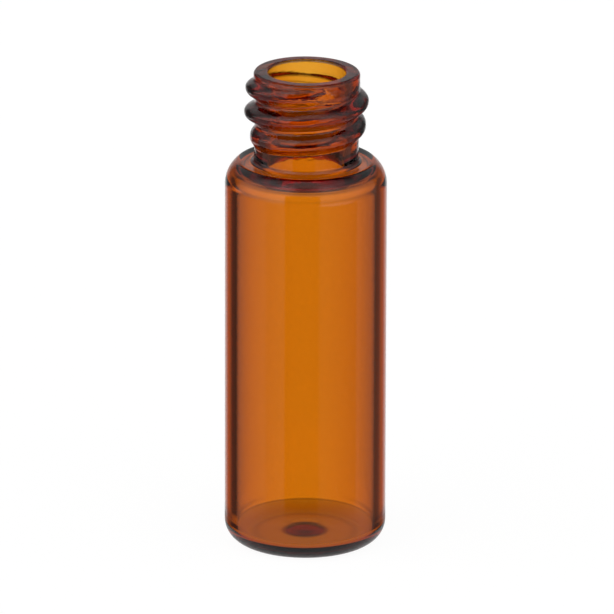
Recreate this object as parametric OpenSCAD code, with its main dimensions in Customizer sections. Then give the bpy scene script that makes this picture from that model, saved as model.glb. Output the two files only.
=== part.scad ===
// Glass sample vial with a screw finish, 12 x 35 mm class, in one piece of amber glass.
// The axis is Z. The foot stands on Z = 0 and the mouth opens upwards. All sizes are in millimetres.
// The whole vial is one revolved wall, whose section is drawn in the XY plane with X as the radius.
// The screw thread is a rounded ridge that is swept along a helix and grows out of the neck.

/* [Body] */
// Outside diameter of the body
body_d = 11.6; // [11:0.1:16]
// Height from the foot to the sealing rim
vial_h = 35.2; // [25:0.1:60]
// Thickness of the body wall
wall_t = 0.85; // [0.6:0.05:1.2]
// Outer radius of the heel, where the wall turns under
heel_r = 1.6; // [1:0.1:2]

/* [Shoulder] */
// Outer radius of the shoulder, where the wall turns in
shoulder_r = 2.1; // [1.6:0.1:3]
// Angle through which the wall turns in at that radius
shoulder_turn = 51; // [35:1:65]
// Radius of the crest, where the shoulder turns over into its top
shoulder_crest_r = 0.5; // [0.3:0.05:0.8]
// Fall of the shoulder's top towards the neck, in degrees
shoulder_slope = 4; // [0:0.5:10]
// Thickness of the glass under the crest
shoulder_t = 0.95; // [0.8:0.05:1.2]
// Inner radius where the body's wall turns in
inner_shoulder_r = 0.7; // [0.3:0.05:1]
// Rise of the shoulder's underside towards the bore, in degrees
inner_slope = 6; // [0:0.5:8]

/* [Base] */
// Height of the middle of the floor over the foot
floor_t = 0.75; // [0.7:0.05:2]
// Depth of the dished floor, from its edge to its middle
floor_dish_h = 0.3; // [0.1:0.05:0.6]
// Radius of the inside corner, where the floor meets the wall
floor_corner_r = 0.4; // [0.3:0.05:1.5]
// Inside diameter of the ring that the vial stands on
foot_d = 6.4; // [5.6:0.1:7]
// Rise of the pushed-up base at its middle
push_up_h = 0.05; // [0.05:0.05:0.2]
// Diameter of the dimple in the middle of the base
dimple_d = 3; // [1.6:0.1:4]
// Depth of the dimple above the pushed-up base
dimple_h = 0.35; // [0.1:0.05:0.5]

/* [Neck] */
// Height of the finish, from the crest of the shoulder to the sealing rim
finish_h = 6.6; // [6.2:0.05:9]
// Outside diameter of the neck at the root of the thread
neck_d = 7.46; // [7:0.02:8]
// Diameter of the bore through the neck
bore_d = 5.52; // [4.8:0.02:6]
// Radius of the rounded lower edge of the bore
bore_edge_r = 0.6; // [0.2:0.05:0.7]
// Radius of the hollow between the shoulder and the neck
neck_fillet_r = 0.35; // [0.1:0.05:0.4]
// Outside diameter of the sealing rim
rim_d = 7.62; // [7.5:0.02:8.2]
// Height of the sealing rim, down to where it meets the neck
rim_h = 1; // [0.6:0.05:1.2]
// Height over which the neck widens to the rim
rim_taper_h = 0.3; // [0.1:0.05:0.6]
// Radius of the rim's outer edge
rim_edge_r = 0.3; // [0.1:0.05:0.4]
// Radius of the mouth's inner edge
mouth_edge_r = 0.25; // [0.1:0.05:0.4]

/* [Thread] */
// Rise of the thread in one turn
thread_pitch = 1.814; // [1.75:0.002:2]
// Height of the thread's crest above the neck
thread_h = 0.7; // [0.4:0.05:0.9]
// Width of the thread at its root
thread_w = 1.62; // [1:0.02:1.7]
// Number of turns, with both run-outs
thread_turns = 2.7; // [1:0.05:2.8]
// Distance from the sealing rim down to the top end of the thread's centre line
thread_top = 0.7; // [0.65:0.05:1]
// Direction in which the top end of the thread points, in degrees from +X
thread_end_angle = 285; // [0:5:355]
// Angle over which the top end of the thread runs out
top_run_out = 150; // [20:5:180]
// Angle over which the bottom end of the thread runs out
bottom_run_out = 400; // [40:10:500]

/* [Hidden] */

body_r = body_d / 2;
neck_r = neck_d / 2;
bore_r = bore_d / 2;
rim_r = rim_d / 2;

cavity_r = body_r - wall_t;

// The floor is a shallow dish, and its corner is an arc that touches both the dish and the wall.
floor_r = dish_r(cavity_r, floor_dish_h);
floor_reach = floor_r - floor_corner_r;
floor_corner_x = cavity_r - floor_corner_r;
floor_drop = sqrt(floor_reach ^ 2 - floor_corner_x ^ 2);
floor_corner_z = floor_t + floor_r - floor_drop;

// The shoulder turns in round [shoulder_x, shoulder_z] and turns over round the crest's centre.
crest_top_z = vial_h - finish_h;
crest_reach = shoulder_r - shoulder_crest_r;
shoulder_x = body_r - shoulder_r;
shoulder_z = crest_top_z - shoulder_crest_r - crest_reach * sin(shoulder_turn);
crest = [shoulder_x + crest_reach * cos(shoulder_turn), crest_top_z - shoulder_crest_r];

// Centre of the arc inside the shoulder
inner_crest = [cavity_r - inner_shoulder_r, crest_top_z - shoulder_t - inner_shoulder_r];

// Overlap of shapes that are joined, so that they share no face
lap = 0.5;
// Exponents of the thread's section: a round crest and flanks that slow down into the root
crest_power = 2.75;
flank_power = 1.9;
// Depth to which the thread is rooted in the neck's wall
thread_root = 0.25;
// Depth to which the thread's flanks and ends dip under the neck's face
thread_dip = 0.06;
// Share of its full width that the thread keeps where it ends
end_width = 0.45;
// Points across the thread's section, and steps to a turn
section_steps = 8;
steps_per_turn = 60;
$fn = 96;

// Radius of the circle through (half, 0) and (0, rise), which cuts a shallow dish.
function dish_r(half, rise) = (half ^ 2 + rise ^ 2) / (2 * rise);

// Height of the pushed-up base at a radius x.
function push_up_z(x) =
    let (r = dish_r(foot_d / 2, push_up_h))
    sqrt(r ^ 2 - x ^ 2) - r + push_up_h;

// A disc section of height h and radius x that starts at height z.
module slab(x, z, h) {
    translate([0, z])
        square([x, h]);
}

// A round edge of radius r whose centre is at (x, z).
module round_at(x, z, r) {
    translate([x, z])
        circle(r);
}

// The top of a shoulder: from a crest of radius r round centre it falls by slope degrees towards a neck
// of radius neck_x, and turns up into it in a hollow of radius hollow_r.
module shoulder_top(centre, r, slope, neck_x, hollow_r) {
    normal = [-sin(slope), cos(slope)];
    start = centre + r * normal;
    hollow_x = neck_x + hollow_r;
    hollow_z = (start * normal + hollow_r + hollow_x * sin(slope)) / cos(slope);
    hollow = [hollow_x, hollow_z];
    low_z = centre.y - lap / 2;
    round_at(centre.x, centre.y, r);
    difference() {
        polygon([
            [0, low_z], [centre.x, low_z], centre, start,
            hollow - hollow_r * normal, hollow, [0, hollow_z]
        ]);
        round_at(hollow_x, hollow_z, hollow_r);
    }
}

// The part of the shoulder that turns in at its full radius, up to the crest.
module shoulder_bend() {
    reach = 3 * shoulder_r;
    intersection() {
        round_at(shoulder_x, shoulder_z, shoulder_r);
        polygon([
            [shoulder_x, shoulder_z - lap], [shoulder_x + reach, shoulder_z - lap],
            [shoulder_x + reach * cos(shoulder_turn), shoulder_z + reach * sin(shoulder_turn)],
            [shoulder_x, shoulder_z]
        ]);
    }
}

// Everything inside the outer face, as a solid section.
module outer_section() {
    slab(body_r - heel_r, 0, heel_r + lap);
    round_at(body_r - heel_r, heel_r, heel_r);
    slab(body_r, heel_r, shoulder_z - heel_r);
    shoulder_bend();
    slab(crest.x, shoulder_z - lap, crest.y - shoulder_z + lap);
    shoulder_top(crest, shoulder_crest_r, shoulder_slope, neck_r, neck_fillet_r);
    neck_section();
}

// The neck and its rim, from the shoulder up.
module neck_section() {
    rim_z = vial_h - rim_h;
    slab(neck_r, shoulder_z, rim_z - shoulder_z);
    polygon([[0, rim_z - rim_taper_h], [neck_r, rim_z - rim_taper_h], [rim_r, rim_z], [0, rim_z]]);
    slab(rim_r, rim_z, rim_h - rim_edge_r);
    slab(rim_r - rim_edge_r, rim_z, rim_h);
    round_at(rim_r - rim_edge_r, vial_h - rim_edge_r, rim_edge_r);
}

// The space over the dished floor, up to the level of its rounded corner.
module floor_section() {
    down = (floor_corner_r + floor_dish_h + lap) / floor_reach;
    low_z = floor_corner_z - down * floor_drop;
    intersection() {
        round_at(0, floor_t + floor_r, floor_r, $fn = 720);
        polygon([
            [0, low_z], [floor_corner_x * (1 + down), low_z],
            [floor_corner_x, floor_corner_z], [floor_corner_x, floor_corner_z + lap / 2],
            [0, floor_corner_z + lap / 2]
        ]);
    }
    round_at(floor_corner_x, floor_corner_z, floor_corner_r);
}

// The sample space and the bore.
module inner_section() {
    floor_section();
    slab(cavity_r, floor_corner_z, inner_crest.y - floor_corner_z);
    shoulder_top(inner_crest, inner_shoulder_r, -inner_slope, bore_r, bore_edge_r);
    slab(bore_r, shoulder_z, vial_h - shoulder_z + lap);
    mouth_edge();
}

// The rounded inner edge of the mouth.
module mouth_edge() {
    edge_z = vial_h - mouth_edge_r;
    difference() {
        slab(bore_r + mouth_edge_r, edge_z, mouth_edge_r + lap);
        round_at(bore_r + mouth_edge_r, edge_z, mouth_edge_r);
    }
}

// The pushed-up base inside the foot ring, and the dimple in its middle.
module base_section() {
    push_r = dish_r(foot_d / 2, push_up_h);
    edge_z = push_up_z(dimple_d / 2);
    rise = push_up_h + dimple_h - edge_z;
    small_r = dish_r(dimple_d / 2, rise);
    round_at(0, push_up_h - push_r, push_r, $fn = 720);
    round_at(0, edge_z + rise - small_r, small_r, $fn = 360);
}

// One half of the wall's section, on the positive side of the axis.
module wall_section() {
    intersection() {
        difference() {
            outer_section();
            inner_section();
            base_section();
        }
        square([body_r + lap, vial_h + lap]);
    }
}

// Height of the thread's section, for u from -1 at one root over 0 on the crest to 1 at the other.
function ridge(u) = (1 - abs(u) ^ crest_power) ^ flank_power;

// How much of its full height the thread has at an angle a from its lower end.
function run_out(a, total) =
    sin(90 * min(1, a / bottom_run_out)) * sin(90 * min(1, (total - a) / top_run_out));

// One section of the thread: its face from root to root, between two corners inside the wall.
// The ridge gets lower and narrower together as it runs out.
function thread_ring(a, total) =
    let (
        full = run_out(a, total),
        half = thread_w / 2 * (end_width + (1 - end_width) * full),
        turn = thread_end_angle - total + a,
        z = vial_h - thread_top - thread_pitch * (total - a) / 360,
        face = [for (i = [0:section_steps])
            let (u = 2 * i / section_steps - 1)
            [neck_r - thread_dip + (thread_h + thread_dip) * ridge(u) * full, z + u * half]],
        low_back = [[neck_r - thread_root, z - half]],
        high_back = [[neck_r - thread_root, z + half]]
    )
    [for (p = concat(low_back, face, high_back)) [p[0] * cos(turn), p[0] * sin(turn), p[1]]];

// The ridge as one closed mesh, from its lower end to its upper end.
module thread() {
    total = 360 * thread_turns;
    rings = ceil(steps_per_turn * thread_turns);
    count = section_steps + 3;
    points = [for (k = [0:rings]) each thread_ring(total * k / rings, total)];
    sides = [for (k = [0:rings - 1], i = [0:count - 1])
        let (a = k * count + i, b = k * count + (i + 1) % count)
        each [[a, b, b + count], [a, b + count, a + count]]];
    low_end = [[for (i = [count - 1:-1:0]) i]];
    high_end = [[for (i = [0:count - 1]) rings * count + i]];
    polyhedron(points, concat(sides, low_end, high_end), convexity = 6);
}

module vial() {
    color([0.72, 0.38, 0.08, 0.85])
        union() {
            rotate_extrude()
                wall_section();
            thread();
        }
}

vial();
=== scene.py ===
# %% [markdown]
# # A screw-neck sample vial in amber glass
# The vial is one piece of glass tube: a straight body, a heel and a nearly flat base, a rolled shoulder, and a short
# neck with a round screw thread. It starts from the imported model, which fixes its size and place.
# Blender counts in metres. The sizes of the glass are written in millimetres, as a maker thinks of them.

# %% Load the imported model
import math
import bmesh
import bpy
from mathutils import Euler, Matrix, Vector


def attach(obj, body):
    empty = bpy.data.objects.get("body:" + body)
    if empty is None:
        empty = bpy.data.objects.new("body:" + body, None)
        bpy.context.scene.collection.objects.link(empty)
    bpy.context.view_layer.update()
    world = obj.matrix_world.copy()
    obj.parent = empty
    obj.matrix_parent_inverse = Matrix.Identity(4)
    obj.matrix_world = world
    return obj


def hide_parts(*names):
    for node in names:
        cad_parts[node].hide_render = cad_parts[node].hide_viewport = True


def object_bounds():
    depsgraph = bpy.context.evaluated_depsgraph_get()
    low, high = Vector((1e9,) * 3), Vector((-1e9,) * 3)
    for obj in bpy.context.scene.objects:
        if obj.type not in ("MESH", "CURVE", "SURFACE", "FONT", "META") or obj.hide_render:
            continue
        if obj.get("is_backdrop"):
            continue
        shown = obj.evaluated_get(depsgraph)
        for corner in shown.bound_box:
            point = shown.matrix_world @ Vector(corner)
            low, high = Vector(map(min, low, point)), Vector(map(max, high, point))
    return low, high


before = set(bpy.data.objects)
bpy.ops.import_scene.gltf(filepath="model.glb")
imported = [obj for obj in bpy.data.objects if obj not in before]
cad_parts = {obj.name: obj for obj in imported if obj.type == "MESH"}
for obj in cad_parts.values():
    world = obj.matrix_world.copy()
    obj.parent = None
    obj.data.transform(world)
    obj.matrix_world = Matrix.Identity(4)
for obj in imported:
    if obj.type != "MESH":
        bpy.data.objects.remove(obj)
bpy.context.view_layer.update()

MM = 0.001

# %% [markdown]
# ## The camera
# The vial is small, so a picture of it is taken from well back with a long lens, which keeps its sides parallel.
# The camera is placed by what it looks at: a point on the axis half-way up, a distance and a height above the horizon.
# That is easier to check against a real set-up than a loose position and rotation.

# %% Place the camera
AIM = Vector((0.1, 0, 17.5)) * MM
DISTANCE = 764.34 * MM
LOOK_DOWN = math.radians(18.321)
LEAN = math.radians(0.163)
LENS, SENSOR = 624.66, 36

camera = bpy.data.objects.new("camera", bpy.data.cameras.new("camera"))
bpy.context.scene.collection.objects.link(camera)
camera.location = AIM + DISTANCE * Vector((0, -math.cos(LOOK_DOWN), math.sin(LOOK_DOWN)))
tilt_up = Euler((math.radians(90) - LOOK_DOWN, 0, 0)).to_matrix()
camera.rotation_euler = (tilt_up @ Euler((0, 0, LEAN)).to_matrix()).to_euler()
camera.data.sensor_width = SENSOR
camera.data.lens = LENS
bpy.context.scene.camera = camera
print("camera", round(DISTANCE, 3), "m away, looking down", round(math.degrees(LOOK_DOWN), 1), "degrees")

# %% [markdown]
# ## The wall of the vial
# A vial is made from tube, so every part of it is the same wall, bent in or out. Its half section is one closed line:
# over the floor, up the inside, round the rim, down the outside, round the heel, and under the base.
# A line of points is used and not a modifier on a thin sheet, because the inside and the outside bend differently,
# and in clear glass both of them show.

# %% Lines and arcs of the half section
def arc(x, z, r, start, end, steps):
    """Points on an arc round (x, z), from one angle to another in degrees, without the first."""
    turns = [math.radians(start + (end - start) * k / steps) for k in range(1, steps + 1)]
    return [(x + r * math.cos(a), z + r * math.sin(a)) for a in turns]


def line(x0, z0, x1, z1, steps):
    """Points on a straight line, without the first."""
    return [(x0 + (x1 - x0) * k / steps, z0 + (z1 - z0) * k / steps) for k in range(1, steps + 1)]


def swell(x, outer, inner=0):
    """1 up to the inner radius and 0 from the outer one outwards, with a soft slope between them."""
    return 0.5 + 0.5 * math.cos(math.pi * min(1, max(0, x - inner) / (outer - inner)))


print("a quarter arc in 2 steps:", [(round(x, 2), round(z, 2)) for x, z in arc(0, 0, 1, 0, 90, 2)])

# %% [markdown]
# ## The shoulder
# The tube is spun and its end pressed in, which leaves a wide arc, a tight crest and a nearly flat top with a hollow
# where the neck starts. The inside follows with its own, smaller arc. Both are the same shape with other sizes,
# so one function makes them.

# %% The shoulder's line
def shoulder(side, z, r, turn, crest_r, slope, neck, hollow_r):
    """A wall of radius side that turns in over the height z: an arc of radius r through some degrees, a tighter
    crest, a nearly flat top with a slope in degrees, and a hollow up into the neck.
    Gives the points and the height of the hollow's upper end."""
    points = arc(side - r, z, r, 0, turn, 20)
    a, b = math.radians(turn), math.radians(slope)
    crest_x, crest_z = side - r + (r - crest_r) * math.cos(a), z + (r - crest_r) * math.sin(a)
    points += arc(crest_x, crest_z, crest_r, turn, 90 + slope, 10)
    hollow_x = neck + hollow_r
    top = points[-1][1] - (points[-1][0] - hollow_x) * math.tan(b)
    hollow_z = top + hollow_r / math.cos(b)
    points += line(*points[-1], hollow_x + hollow_r * math.sin(b), hollow_z - hollow_r * math.cos(b), 6)
    points += arc(hollow_x, hollow_z, hollow_r, slope - 90, -180, 10)
    return points, hollow_z


BODY_R, CAVITY_R = 5.8, 4.95
NECK_R, BORE_R = 3.73, 2.76
SHOULDER_R, SHOULDER_Z, SHOULDER_TURN = 2.1, 26.85, 51.3
CREST_R, SHOULDER_SLOPE, NECK_HOLLOW_R = 0.52, 4, 0.36
INNER_SHOULDER_R, INNER_SHOULDER_Z = 0.69, 26.96
INNER_TURN, INNER_SLOPE, BORE_EDGE = 60, -5.8, 0.63
over_top, neck_z = shoulder(BODY_R, SHOULDER_Z, SHOULDER_R, SHOULDER_TURN, CREST_R,
                            SHOULDER_SLOPE, NECK_R, NECK_HOLLOW_R)
under_top, bore_z = shoulder(CAVITY_R, INNER_SHOULDER_Z, INNER_SHOULDER_R, INNER_TURN, INNER_SHOULDER_R,
                             INNER_SLOPE, BORE_R, BORE_EDGE)
print("the neck starts at", round(neck_z, 2), "mm outside and", round(bore_z, 2), "mm inside")

# %% [markdown]
# ## The floor inside
# The floor is worked flat while the glass is soft. It comes out a little thicker in the middle, and runs up into the
# wall in a wide soft corner. The corner is a quarter of an ellipse, because it is wider than it is high.

# %% The inside, from the middle of the floor to the rim
HEIGHT = 35.2
MOUTH_EDGE = 0.22
FLOOR_Z, CORNER_WIDE, CORNER_HIGH = 0.83, 1.3, 0.61
FLOOR_RISE_R, FLOOR_RISE = 2.243, 0.236

floor_edge = CAVITY_R - CORNER_WIDE
inside = [(0, FLOOR_Z + FLOOR_RISE)]
inside += [(x, FLOOR_Z + FLOOR_RISE * swell(x, FLOOR_RISE_R)) for x, z in line(0, 0, floor_edge, 0, 40)]
inside += [(floor_edge + CORNER_WIDE * x, FLOOR_Z + CORNER_HIGH * (1 + z)) for x, z in arc(0, 0, 1, -90, 0, 14)]
inside += line(CAVITY_R, FLOOR_Z + CORNER_HIGH, CAVITY_R, INNER_SHOULDER_Z, 20) + under_top
inside += line(BORE_R, bore_z, BORE_R, HEIGHT - MOUTH_EDGE, 24)
inside += arc(BORE_R + MOUTH_EDGE, HEIGHT - MOUTH_EDGE, MOUTH_EDGE, 180, 90, 8)
print("points inside:", len(inside))

# %% [markdown]
# ## The outside
# From the rim the line goes down the neck, over the shoulder and down the body to the heel. The rim is a band that
# stands a little proud of the neck, with its edges melted round.

# %% The outside, from the rim to the heel
RIM_R, RIM_EDGE = 3.81, 0.25
RIM_H, RIM_TAPER_END = 1.05, 1.4
HEEL_R = 1.551

outside = line(BORE_R + MOUTH_EDGE, HEIGHT, RIM_R - RIM_EDGE, HEIGHT, 5)
outside += arc(RIM_R - RIM_EDGE, HEIGHT - RIM_EDGE, RIM_EDGE, 90, 0, 8)
first_neck_row = len(inside) + len(outside)
outside += line(RIM_R, HEIGHT - RIM_EDGE, RIM_R, HEIGHT - RIM_H, 8)
outside += line(RIM_R, HEIGHT - RIM_H, NECK_R, HEIGHT - RIM_TAPER_END, 4)
outside += line(NECK_R, HEIGHT - RIM_TAPER_END, NECK_R, neck_z, 60)
neck_rows = range(first_neck_row, len(inside) + len(outside))
outside += over_top[-2::-1] + [(BODY_R, SHOULDER_Z)]
outside += line(BODY_R, SHOULDER_Z, BODY_R, HEEL_R, 24)
outside += arc(BODY_R - HEEL_R, HEEL_R, HEEL_R, 0, -90, 18)
print("points outside:", len(outside), "of them on the neck:", len(neck_rows))

# %% [markdown]
# ## The base
# The vial stands on a ring just inside the heel. The glass within the ring is pushed up by only five thousandths of
# a millimetre, and a dimple of three hundredths lies in the middle. So small a change still bends the light that comes
# through it. A cosine gives both a soft edge, which is what heat does to glass.

# %% The underside of the base
FOOT_OUTER, FOOT_INNER, PUSH_UP = 3.862, 1.84, 0.005
DIMPLE_R, DIMPLE = 1.111, 0.032

under = line(BODY_R - HEEL_R, 0, FOOT_OUTER, 0, 3) + line(FOOT_OUTER, 0, 0, 0, 60)
under = [(x, PUSH_UP * swell(x, FOOT_OUTER, FOOT_INNER) + DIMPLE * swell(x, DIMPLE_R)) for x, z in under]
section = inside + outside + under
print("points in the whole half section:", len(section))
print("glass in the middle of the floor, mm:", round(FLOOR_Z + FLOOR_RISE - PUSH_UP - DIMPLE, 2))

# %% [markdown]
# ## The screw thread
# The thread is rolled into the hot neck, so it is a soft round ridge and not a cut one. It climbs one pitch in each
# turn, and both of its ends sink back into the neck. It could be a swept curve joined to the neck, but a join shows
# as a line in clear glass. Here the ridge is a height on the neck's own surface, so glass and thread are one skin.
# Hot glass doesn't fill the roller evenly, so the height and the width of the ridge change along its length.

# %% The run of the thread
PITCH = 1.807
LEFT_Z = 33.984  # height of the ridge's middle where its run is at 180 degrees, on the vial's left
THREAD_START, THREAD_END = -690, 300
RUN_IN, RUN_OUT = 240, 100
# places are in degrees along the run, heights and half widths in millimetres
CREST = [(-640, 0.3), (-540, 0.39), (-450, 0.55), (-360, 0.5), (-270, 0.58),
         (-180, 0.75), (-90, 0.66), (0, 0.7), (90, 0.2), (180, 0.66)]
HALF_WIDTH = [(-20, 0.81), (90, 0.6), (200, 0.81)]


def between(points, t):
    """The value at t on a line of (place, value) points."""
    if t <= points[0][0]:
        return points[0][1]
    for (t0, v0), (t1, v1) in zip(points, points[1:]):
        if t <= t1:
            return v0 + (v1 - v0) * (t - t0) / (t1 - t0)
    return points[-1][1]


print("turns of thread:", round((THREAD_END - THREAD_START) / 360, 2))
print("fullest height, mm:", max(height for place, height in CREST))

# %% The height of the ridge
CREST_POWER, FLANK_POWER = 2.75, 1.9  # a round crest, and flanks that slow down into the root


def ease_in(part):
    """From 0 to 1 in a quarter of a wave, and then 1."""
    return math.sin(math.radians(90 * min(1, part)))


def ridge(turn, z):
    """Height of the thread above the neck at an angle in degrees from +X and a height z."""
    height = 0
    for t in (turn - 720, turn - 360, turn):
        middle = LEFT_Z + PITCH * (t - 180) / 360
        across = abs(z - middle) / between(HALF_WIDTH, t)
        if across < 1 and THREAD_START < t < THREAD_END:
            full = ease_in((t - THREAD_START) / RUN_IN) * ease_in((THREAD_END - t) / RUN_OUT)
            height = max(height, between(CREST, t) * full * (1 - across ** CREST_POWER) ** FLANK_POWER)
    return height


print("thread on the left, mm:", [round(ridge(180, z), 2) for z in (33.4, LEFT_Z, 34.5)])

# %% [markdown]
# ## One skin of glass
# The section is carried round the axis in 256 steps. Each ring of points gets the thread's height where it lies on
# the outside of the neck. The neck of a real vial is never quite true to its body, so it leans and shifts by a few
# hundredths of a millimetre. The two ends of the line lie on the axis and close with a fan, so the mesh has no hole.

# %% Carry the section round the axis
STEPS = 256
THREAD_TOP = 34.95
LEAN_OF_NECK, SHIFT_OF_NECK = 0.0086, 0.0475
LEAN_FROM, LEAN_OVER = 28.5, 1.5


def point(row, step):
    """One point of the skin in metres."""
    x, z = section[row]
    turn = 360 * step / STEPS
    if row in neck_rows and neck_z < z < THREAD_TOP:
        x = max(x, NECK_R + ridge(turn, z))
    a = math.radians(turn)
    across, along = x * math.cos(a), x * math.sin(a)
    ease = min(1, max(0, (z - LEAN_FROM) / LEAN_OVER))
    return (across + SHIFT_OF_NECK * ease) * MM, along * MM, (z - LEAN_OF_NECK * across * ease) * MM


rows = range(1, len(section) - 1)
verts = [point(row, step) for row in rows for step in range(STEPS)]
verts += [(0, 0, section[0][1] * MM), (0, 0, section[-1][1] * MM)]
floor_pole, base_pole = len(verts) - 2, len(verts) - 1
faces = []
for k in range(len(rows) - 1):
    for i in range(STEPS):
        a, b = k * STEPS + i, k * STEPS + (i + 1) % STEPS
        faces.append((a, b, b + STEPS, a + STEPS))
last = (len(rows) - 1) * STEPS
faces += [(floor_pole, (i + 1) % STEPS, i) for i in range(STEPS)]
faces += [(base_pole, last + i, last + (i + 1) % STEPS) for i in range(STEPS)]
print("points:", len(verts), "faces:", len(faces))

# %% Make the skin and check it
mesh = bpy.data.meshes.new("vial_glass")
mesh.from_pydata(verts, [], faces)
mesh.validate()
mesh.shade_smooth()
vial = bpy.data.objects.new("vial_glass", mesh)
bpy.context.scene.collection.objects.link(vial)

skin = bmesh.new()
skin.from_mesh(mesh)
bmesh.ops.recalc_face_normals(skin, faces=skin.faces)
skin.to_mesh(mesh)
print("glass, mm3:", round(skin.calc_volume() / MM ** 3, 1))
print("open edges:", sum(not e.is_manifold for e in skin.edges))
print("triangles:", sum(len(f.verts) - 2 for f in skin.faces))
skin.free()

# %% [markdown]
# ## Helpers for nodes
# The glass, the studio and the floor are all made of nodes. A few short functions add a node, put a number or a link
# on a socket, and do one step of arithmetic, so that each material below reads like a recipe.

# %% Add and link nodes
def add(tree, kind, label, **settings):
    """A new node in the tree, with its label and settings."""
    made = tree.nodes.new(kind)
    made.label = label
    for name, value in settings.items():
        setattr(made, name, value)
    return made


def put(tree, value, socket):
    """A number set on a socket, or another socket linked to it."""
    if isinstance(value, (int, float)):
        socket.default_value = value
    else:
        tree.links.new(value, socket)


def maths(tree, operation, *values):
    """One step of arithmetic on numbers or sockets."""
    made = add(tree, "ShaderNodeMath", operation.lower(), operation=operation)
    for value, socket in zip(values, made.inputs):
        put(tree, value, socket)
    return made.outputs[0]


def ramp(tree, value, start, end, low, high):
    """A value that goes from low to high while another goes from start to end, and stays there."""
    made = add(tree, "ShaderNodeMapRange", "ramp")
    for number, socket in zip((value, start, end, low, high), made.inputs):
        put(tree, number, socket)
    return made.outputs[0]


def empty_tree(owner):
    """The node tree of a material or a world, with nothing in it."""
    owner.use_nodes = True
    owner.node_tree.nodes.clear()
    return owner.node_tree


print("helpers:", [f.__name__ for f in (add, put, maths, ramp, empty_tree)])

# %% Start a node group
def new_group(name, inputs, outputs):
    """A node group with named sockets. Gives the group, what goes in and what comes out."""
    group = bpy.data.node_groups.new(name, "ShaderNodeTree")
    for label, value in inputs.items():
        kind = "NodeSocketVector" if value is None else "NodeSocketFloat"
        socket = group.interface.new_socket(label, in_out="INPUT", socket_type=kind)
        if value is not None:
            socket.default_value = value
    for label, kind in outputs.items():
        group.interface.new_socket(label, in_out="OUTPUT", socket_type=kind)
    return group, group.nodes.new("NodeGroupInput").outputs, group.nodes.new("NodeGroupOutput").inputs


print("group maker:", new_group.__name__)

# %% [markdown]
# ## Marks of making
# Tube that is drawn and then worked in a flame isn't quite even. Faint lines run along it, the neck and the shoulder
# have soft ripples from the tools, and its clearness changes a little from place to place. Stretched noise gives all
# three. It is a node group, so that another glass piece could use the same marks with other values.

# %% A noise that can be stretched
def noise(tree, place, stretch, scale, detail):
    """A cloudy noise, with the space that it lies in multiplied along each axis."""
    stretched = add(tree, "ShaderNodeVectorMath", "stretch", operation="MULTIPLY")
    stretched.inputs[1].default_value = stretch
    tree.links.new(place, stretched.inputs[0])
    grain = add(tree, "ShaderNodeTexNoise", "noise")
    tree.links.new(stretched.outputs[0], grain.inputs["Vector"])
    put(tree, scale, grain.inputs["Scale"])
    put(tree, detail, grain.inputs["Detail"])
    return grain.outputs["Fac"]


print("noise maker:", noise.__name__)

# %% Marks of making as a node group
LINE_STRETCH, RIPPLE_STRETCH, CLOUD_STRETCH = (1, 1, 0.03), (0.7, 0.7, 1.2), (1, 1, 1)
CLOUD_SCALE, CLOUD_LOW, CLOUD_HIGH = 400, 0.35, 0.65
WORKED_OVER = 1.2 * MM
CLEAR, LESS_CLEAR = (1, 1, 1, 1), (0.985, 0.97, 0.95, 1)
MOST_ROUGH = 0.05

marks, given, comes_out = new_group(
    "glass_marks",
    {"Place": None, "Worked from": 0.029, "Line scale": 900, "Ripple scale": 2600,
     "Line height": 0.04, "Ripple height": 1},
    {"Height": "NodeSocketFloat", "Roughness": "NodeSocketFloat", "Tint": "NodeSocketColor"})
axes = add(marks, "ShaderNodeSeparateXYZ", "axes")
marks.links.new(given["Place"], axes.inputs[0])
worked_to = maths(marks, "ADD", given["Worked from"], WORKED_OVER)
worked = ramp(marks, axes.outputs["Z"], given["Worked from"], worked_to, 0, 1)
lines = noise(marks, given["Place"], LINE_STRETCH, given["Line scale"], 2)
lines = maths(marks, "MULTIPLY", lines, given["Line height"])
ripples = noise(marks, given["Place"], RIPPLE_STRETCH, given["Ripple scale"], 2)
ripples = maths(marks, "MULTIPLY", maths(marks, "MULTIPLY", ripples, given["Ripple height"]), worked)
marks.links.new(maths(marks, "ADD", lines, ripples), comes_out["Height"])

cloud = noise(marks, given["Place"], CLOUD_STRETCH, CLOUD_SCALE, 3)
marks.links.new(ramp(marks, cloud, CLOUD_LOW, CLOUD_HIGH, 0, MOST_ROUGH), comes_out["Roughness"])
tint = add(marks, "ShaderNodeMix", "tint", data_type="RGBA")
tint.inputs["A"].default_value = CLEAR
tint.inputs["B"].default_value = LESS_CLEAR
marks.links.new(cloud, tint.inputs["Factor"])
marks.links.new(tint.outputs["Result"], comes_out["Tint"])
print("glass marks give:", [s.name for s in marks.interface.items_tree if s.in_out == "OUTPUT"])

# %% [markdown]
# ## Amber glass
# Amber glass gets its colour from iron and sulphur all through it, so the colour comes from how far the light
# travels inside and not from the surface. A volume that absorbs blue most and red least gives that: one wall looks
# golden, two walls look orange, and a long way along the wall looks brown. The surface is clear and nearly smooth,
# with only the marks of making on it.

# %% The glass material
GLASS_COLOUR, GLASS_DENSITY, GLASS_IOR = (0.9327, 0.7018, 0.0), 3300, 1.5
MARK_DEPTH = 0.02 * MM

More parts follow.
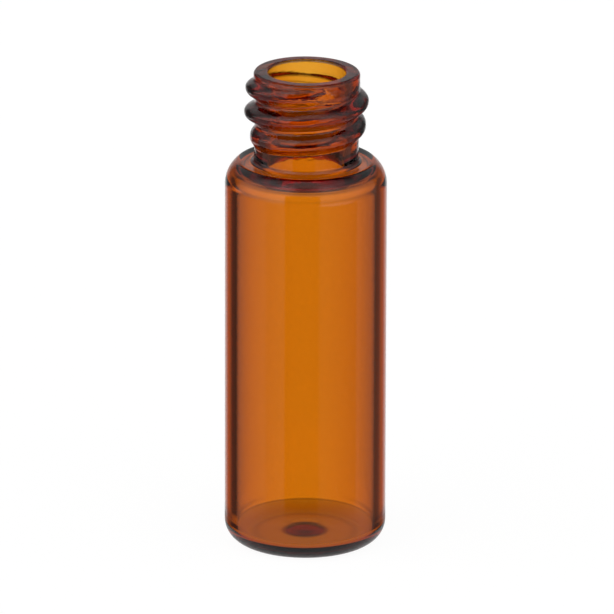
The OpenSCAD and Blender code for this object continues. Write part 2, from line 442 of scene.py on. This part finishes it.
glass = bpy.data.materials.new("amber_glass")
tree = empty_tree(glass)
surface = add(tree, "ShaderNodeBsdfPrincipled", "clear surface")
surface.inputs["IOR"].default_value = GLASS_IOR
surface.inputs["Transmission Weight"].default_value = 1
colour = add(tree, "ShaderNodeVolumeAbsorption", "amber all through")
colour.inputs["Color"].default_value = (*GLASS_COLOUR, 1)
colour.inputs["Density"].default_value = GLASS_DENSITY
place = add(tree, "ShaderNodeTexCoord", "place on the vial")
marked = add(tree, "ShaderNodeGroup", "marks of making", node_tree=marks)
tree.links.new(place.outputs["Object"], marked.inputs["Place"])
bump = add(tree, "ShaderNodeBump", "marks")
bump.inputs["Distance"].default_value = MARK_DEPTH
tree.links.new(marked.outputs["Height"], bump.inputs["Height"])
tree.links.new(bump.outputs["Normal"], surface.inputs["Normal"])
tree.links.new(marked.outputs["Roughness"], surface.inputs["Roughness"])
tree.links.new(marked.outputs["Tint"], surface.inputs["Base Color"])
output = add(tree, "ShaderNodeOutputMaterial", "glass")
tree.links.new(surface.outputs["BSDF"], output.inputs["Surface"])
tree.links.new(colour.outputs["Volume"], output.inputs["Volume"])
mesh.materials.append(glass)
wall = (BODY_R - CAVITY_R) * MM
let_through = [round(math.exp(-GLASS_DENSITY * (1 - c) * wall), 2) for c in GLASS_COLOUR]
print("one wall lets through, red green blue:", let_through)

# %% [markdown]
# ## The studio
# Clear glass has no look of its own: it shows what stands round it. To light glass for a picture, a white sheet goes
# behind the piece and black cards beside the sheet, just out of view. The white fills the middle of the glass and the
# cards draw its edges as dark lines. Soft lights at the sides put pale streaks on the outside. Lamps and real cards
# could do this. Painted on the world they are placed by direction alone and throw no shadows on each other.
# A card is a patch of directions, with a middle, a half width, a bottom, a top and soft edges, all in degrees.

# %% A card in the studio as a node group
card, given, comes_out = new_group(
    "studio_card",
    {"Azimuth": 0, "Elevation": 0, "Middle": 0, "Half width": 20, "Side fade": 1,
     "Bottom": -90, "Top": 90, "End fade": 1},
    {"Mask": "NodeSocketFloat"})


def edge(inwards, how_soft):
    """A soft edge: 0 outside, 1 inside and a half on the line."""
    half = maths(card, "ADD", maths(card, "DIVIDE", inwards, given[how_soft]), 0.5)
    return maths(card, "MINIMUM", maths(card, "MAXIMUM", half, 0), 1)


turned = maths(card, "ABSOLUTE", maths(card, "SUBTRACT", given["Azimuth"], given["Middle"]))
turned = maths(card, "MINIMUM", turned, maths(card, "SUBTRACT", 360, turned))
side = edge(maths(card, "SUBTRACT", given["Half width"], turned), "Side fade")
low = edge(maths(card, "SUBTRACT", given["Elevation"], given["Bottom"]), "End fade")
high = edge(maths(card, "SUBTRACT", given["Top"], given["Elevation"]), "End fade")
card.links.new(maths(card, "MULTIPLY", side, maths(card, "MULTIPLY", low, high)), comes_out["Mask"])
print("studio card inputs:", [s.name for s in card.interface.items_tree if s.in_out == "INPUT"])

# %% [markdown]
# ## The cards
# Azimuth 0 is straight behind the vial, and plus is to the right. The places and the brightnesses were fitted until
# the light and dark bands in the glass fell right. Each card lies over the ones before it.
# The last four sheets stand behind the vial for someone who looks at it from another side, so that the glass has
# something white behind it there too. Every card stays where it is when the camera moves.

# %% The room and its cards
ROOM = 0.45
CARDS = [
    # name, middle, half width, side fade, bottom, top, end fade, brightness
    ("soft light left", -118, 40, 24, -4, 66, 16, 1.0),
    ("soft light right", 126, 40, 30, 4, 66, 24, 0.75),
    ("bright part left", -138, 16, 14, 36, 64, 10, 1.5),
    ("bright part right", 138, 16, 14, 36, 64, 10, 1.2),
    ("ceiling", 0, 190, 1, 66, 100, 20, 0.45),
    ("ceiling in front", 180, 60, 24, 60, 94, 12, 0.8),
    ("dark ceiling behind", 0, 75, 30, 50, 94, 8, 0.07),
    ("side of the table left", -90, 34, 8, -30, -8, 8, 0.4),
    ("side of the table right", 80, 20, 12, -30, -8, 8, 0.35),
    ("front of the table left", -137, 16, 4, -24, -12, 6, 0.26),
    ("front of the table right", 132, 30, 4, -24, -12, 6, 0.16),
    ("black card left", -46, 20, 10, -44, 18, 12, 0.09),
    ("black card right", 45, 19, 10, -44, 18, 12, 0.14),
    ("edge of the backing", 0, 30, 10, -54, -24, 6, 0.14),
    ("table behind", 0, 15, 10, -34, -23, 4, 0.46),
    ("top of the backing", 0, 24, 8, 22, 52, 8, 0.1),
    ("strip over the sheet", 0, 8, 6, 0, 11, 5, 0.25),
    ("white sheet behind", 0, 25.5, 21, -23, -10, 7, 0.8),
    ("middle of the sheet", 0, 8, 14, -23, -11, 6, 1.02),
    ("low sheet on the left", -45, 17, 16, -29, -21.5, 2, 0.85),
    ("sheet at the right front", 135, 21, 20, -16.2, -8, 1, 0.9),
    ("sheet on the left", -90, 22, 20, -7, 1, 4, 0.95),
    ("level strip behind", 0, 24, 20, -5, -1.2, 1, 0.75),
    ("gap for the camera", -174.7, 24.7, 3, -24, 24, 4, 0.03),
]
print("studio cards:", [c[0] for c in CARDS])

# %% Directions as azimuth and elevation
world = bpy.data.worlds.new("studio")
bpy.context.scene.world = world
tree = empty_tree(world)
where = add(tree, "ShaderNodeTexCoord", "direction")
split = add(tree, "ShaderNodeSeparateXYZ", "split")
tree.links.new(where.outputs["Generated"], split.inputs[0])
azimuth = maths(tree, "DEGREES", maths(tree, "ARCTAN2", split.outputs["X"], split.outputs["Y"]))
elevation = maths(tree, "DEGREES", maths(tree, "ARCSINE", split.outputs["Z"]))
print("directions:", len(tree.nodes), "nodes")

# %% [markdown]
# ## White to the camera
# The picture has a plain white background, so a ray straight from the camera sees white. Rays that come out of the
# glass see the cards. That is how the white of the picture and the dark lines in the glass can be had together.

# %% Lay the cards over the room
card_inputs = ("Azimuth", "Elevation", "Middle", "Half width", "Side fade", "Bottom", "Top", "End fade")
light = ROOM
for name, *places, bright in CARDS:
    mask = add(tree, "ShaderNodeGroup", name, node_tree=card)
    for label, value in zip(card_inputs, (azimuth, elevation, *places)):
        put(tree, value, mask.inputs[label])
    mix = add(tree, "ShaderNodeMix", name, data_type="FLOAT")
    for label, value in zip(("Factor", "A", "B"), (mask.outputs["Mask"], light, bright)):
        put(tree, value, mix.inputs[label])
    light = mix.outputs["Result"]

path = add(tree, "ShaderNodeLightPath", "what kind of ray")
seen = add(tree, "ShaderNodeMix", "white to the camera", data_type="FLOAT")
for label, value in zip(("Factor", "A", "B"), (path.outputs["Is Camera Ray"], light, 1)):
    put(tree, value, seen.inputs[label])
background = add(tree, "ShaderNodeBackground", "studio")
tree.links.new(seen.outputs["Result"], background.inputs["Color"])
tree.links.new(background.outputs[0], add(tree, "ShaderNodeOutputWorld", "world").inputs["Surface"])
print("world:", len(tree.nodes), "nodes")
print("darkest card", min(c[-1] for c in CARDS), "brightest", max(c[-1] for c in CARDS))

# %% [markdown]
# ## The floor
# The vial stands on a plain white floor. To the camera the floor is white and takes a faint soft shadow.
# To rays that come out of the glass it is as clear as a glass shelf, so the vial shows the studio, except close by:
# a grey patch of painted shade lies under the vial and in front of it and stands for the table in the vial's shade,
# a painted shade dims the shelf behind the vial, and painted contact shadow where the base touches the floor and a
# painted dark patch under the dimple, which makes the dimple show, darken the grey patch.

# %% The floor and how it looks to the camera
FLOOR_HALF = 1
PAPER, GLOW = 0.1, 0.95

floor_mesh = bpy.data.meshes.new("floor")
corners = [(x * FLOOR_HALF, y * FLOOR_HALF, 0) for x, y in ((-1, -1), (1, -1), (1, 1), (-1, 1))]
floor_mesh.from_pydata(corners, [], [(0, 1, 2, 3)])
floor = bpy.data.objects.new("floor", floor_mesh)
bpy.context.scene.collection.objects.link(floor)
floor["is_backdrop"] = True

white = bpy.data.materials.new("white_floor")
tree = empty_tree(white)
paper = add(tree, "ShaderNodeBsdfDiffuse", "paper")
paper.inputs["Color"].default_value = (PAPER, PAPER, PAPER, 1)
glow = add(tree, "ShaderNodeEmission", "white to the camera")
glow.inputs["Strength"].default_value = GLOW
paper_and_glow = add(tree, "ShaderNodeAddShader", "paper and glow")
tree.links.new(paper.outputs[0], paper_and_glow.inputs[0])
tree.links.new(glow.outputs[0], paper_and_glow.inputs[1])
print("floor at z = 0,", floor.dimensions[0], "m wide")

# %% Painted shade near the vial
# each pair is where a change starts and ends, in millimetres from the axis
PAINTED_SHADE_UNDER, PAINTED_SHADE_REACH, SHADE = (7.4, 8.2), (13, 18), (8.4, 9.8)
SHADE_UNDER_DIMPLE, CONTACT_SHADOW_INNER, CONTACT_SHADOW_OUTER = (1.2, 1.75), (3.2, 3.5), (4.0, 4.3)
PAINTED_SHADE_FRONT = (-4, -1)  # along Y, where the vial's front is
PAINTED_SHADE_LEVEL, SHADE_UNDER_DIMPLE_LEVEL, CONTACT_SHADOW_LEVEL, SHADE_LEVEL = 0.58, 0.03, 0.8, 0.5


def fade(value, span, low, high):
    """A value that goes from low to high over a span in millimetres."""
    return ramp(tree, value, span[0] * MM, span[1] * MM, low, high)


place = add(tree, "ShaderNodeTexCoord", "place on the floor")
reach = add(tree, "ShaderNodeVectorMath", "distance from the vial", operation="LENGTH")
axes = add(tree, "ShaderNodeSeparateXYZ", "left and right, front and back")
tree.links.new(place.outputs["Object"], reach.inputs[0])
tree.links.new(place.outputs["Object"], axes.inputs[0])
from_vial = reach.outputs["Value"]
# painted shade: a grey patch on the floor, seen only from the glass, under the vial and on in front of it
in_front = maths(tree, "MULTIPLY", fade(axes.outputs["Y"], PAINTED_SHADE_FRONT, 1, 0), fade(from_vial, PAINTED_SHADE_REACH, 1, 0))
painted_shade_seen = maths(tree, "MAXIMUM", in_front, fade(from_vial, PAINTED_SHADE_UNDER, 1, 0))
# painted contact shadow: the grey patch is darker in a band where the foot of the base touches the floor
ring = maths(tree, "MULTIPLY", fade(from_vial, CONTACT_SHADOW_INNER, 0, 1), fade(from_vial, CONTACT_SHADOW_OUTER, 1, 0))
# painted shade: a dark patch under the dimple, which makes the dimple show dark in the glass
shade_under_dimple = fade(from_vial, SHADE_UNDER_DIMPLE, SHADE_UNDER_DIMPLE_LEVEL, PAINTED_SHADE_LEVEL)
brightness = maths(tree, "MULTIPLY", shade_under_dimple, ramp(tree, ring, 0, 1, 1, CONTACT_SHADOW_LEVEL))
shade = fade(from_vial, SHADE, SHADE_LEVEL, 1)
print("mat reaches", PAINTED_SHADE_REACH[1], "mm in front of the vial")

# %% What the camera sees and what the glass sees
# the painted shade is a glow at its own level, seen only by rays that come from the glass
painted_shade = add(tree, "ShaderNodeEmission", "mat under the vial")
tree.links.new(brightness, painted_shade.inputs["Strength"])
shaded = add(tree, "ShaderNodeBsdfTransparent", "shade behind the vial")
tree.links.new(shade, shaded.inputs["Color"])
shelf = add(tree, "ShaderNodeMixShader", "mat or clear shelf")
choose = add(tree, "ShaderNodeMixShader", "camera or glass")
path = add(tree, "ShaderNodeLightPath", "what kind of ray")
for mixer, parts in ((shelf, (painted_shade_seen, shaded.outputs[0], painted_shade.outputs[0])),
                     (choose, (path.outputs["Is Camera Ray"], shelf.outputs[0], paper_and_glow.outputs[0]))):
    for part, socket in zip(parts, mixer.inputs):
        tree.links.new(part, socket)
tree.links.new(choose.outputs[0], add(tree, "ShaderNodeOutputMaterial", "floor").inputs["Surface"])
floor_mesh.materials.append(white)
print("floor material:", len(tree.nodes), "nodes")

# %% [markdown]
# ## Hand over
# The skin stands for the imported vial, rides with it and takes the amber glass slot. The size of what shows is
# printed.

# %% Hand over
bpy.context.scene.view_settings.view_transform = "Standard"
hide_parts("vial")
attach(vial, "root")
low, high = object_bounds()
print("visual vial, mm:", [round(v / MM, 2) for v in (*low, *high)])
